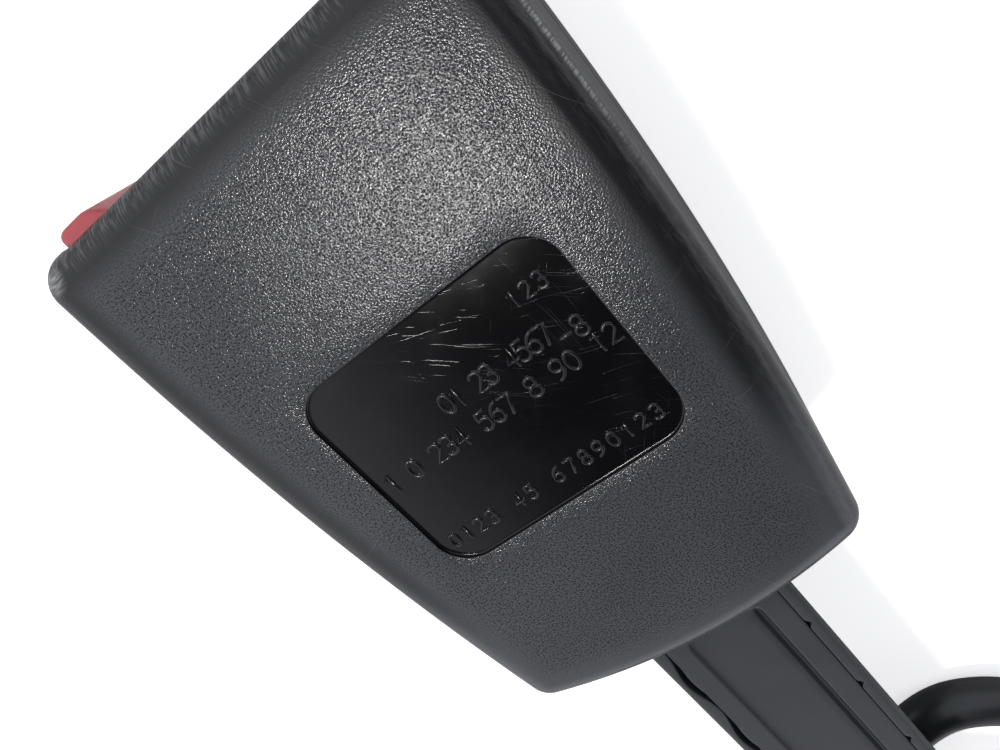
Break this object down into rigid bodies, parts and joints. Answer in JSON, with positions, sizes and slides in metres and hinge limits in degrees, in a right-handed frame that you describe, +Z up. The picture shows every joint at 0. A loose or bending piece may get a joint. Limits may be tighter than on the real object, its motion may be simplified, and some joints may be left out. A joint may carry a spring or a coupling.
{
  "type": "seat belt buckle",
  "caption": "End-release seat belt buckle with a steel frame, latch and ejector inside a two-shell case, on a sleeved steel strap with an anchor eye and a switch lead.",
  "frame": {"origin": "on the resting face of the front shell, under the middle of the label recess", "axes": "+Y from the release button towards the anchor eye, +Z up from the resting face towards the label side, +X across the buckle"},
  "size_m": [0.073, 0.1976, 0.024],
  "materials": {
    "case_plastic": "fine grained charcoal moulding",
    "button_plastic": "semi-gloss red moulding",
    "black_plastic": "black nylon",
    "natural_plastic": "undyed acetal",
    "lock_plastic": "orange nylon",
    "plated_steel": "zinc plated pressing",
    "hard_steel": "hardened and tumbled",
    "spring_steel": "drawn wire",
    "sleeve_plastic": "satin dark grey moulding",
    "lead_rubber": "smooth black sheath",
    "contact_brass": "tinned brass"
  },
  "bodies": {
    "case": {"rear_shell": "case_plastic", "front_shell": "case_plastic", "slot_liner": "black_plastic", "frame": "plated_steel", "latch_pin": "hard_steel", "switch_module": "black_plastic", "strap": "plated_steel", "strap_rivet": "plated_steel", "sleeve_front": "sleeve_plastic", "sleeve_rear": "sleeve_plastic", "lead_boot": "lead_rubber", "plug_housing": "black_plastic", "plug_lock": "lock_plastic", "terminal_left": "contact_brass", "terminal_right": "contact_brass", "button_spring_left": "spring_steel", "button_spring_right": "spring_steel", "ejector_spring": "spring_steel", "switch_lead": "lead_rubber", "switch_wire": "lead_rubber"},
    "button": {"release_button": "button_plastic"},
    "ejector": {"ejector": "natural_plastic", "switch_magnet": "hard_steel"},
    "latch": {"latch": "hard_steel"},
    "lock_bar": {"lock_bar": "hard_steel"}
  },
  "joints": [
    {"name": "button_press", "type": "slide", "parent": "case", "child": "button", "axis": [0, 1, 0], "range_m": [0, 0.005], "stiffness_N_per_m": 700, "springref_m": -0.004, "deforming": ["button_spring_left", "button_spring_right"]},
    {"name": "ejector_slide", "type": "slide", "parent": "case", "child": "ejector", "axis": [0, 1, 0], "range_m": [0, 0.011], "stiffness_N_per_m": 250, "springref_m": -0.005, "deforming": ["ejector_spring"]},
    {"name": "latch_pivot", "type": "hinge", "parent": "case", "child": "latch", "pos_m": [0, 0.014, 0.0124], "axis": [-1, 0, 0], "range_deg": [0, 15]},
    {"name": "lock_bar_slide", "type": "slide", "parent": "case", "child": "lock_bar", "axis": [0, -0.7867, 0.6173], "range_m": [0, 0.00827]}
  ],
  "couplings": [
    {"joint": "latch_pivot", "follows": "ejector_slide", "rad_per_m": 23.79},
    {"joint": "lock_bar_slide", "follows": "ejector_slide", "ratio": 0.75109}
  ]
}
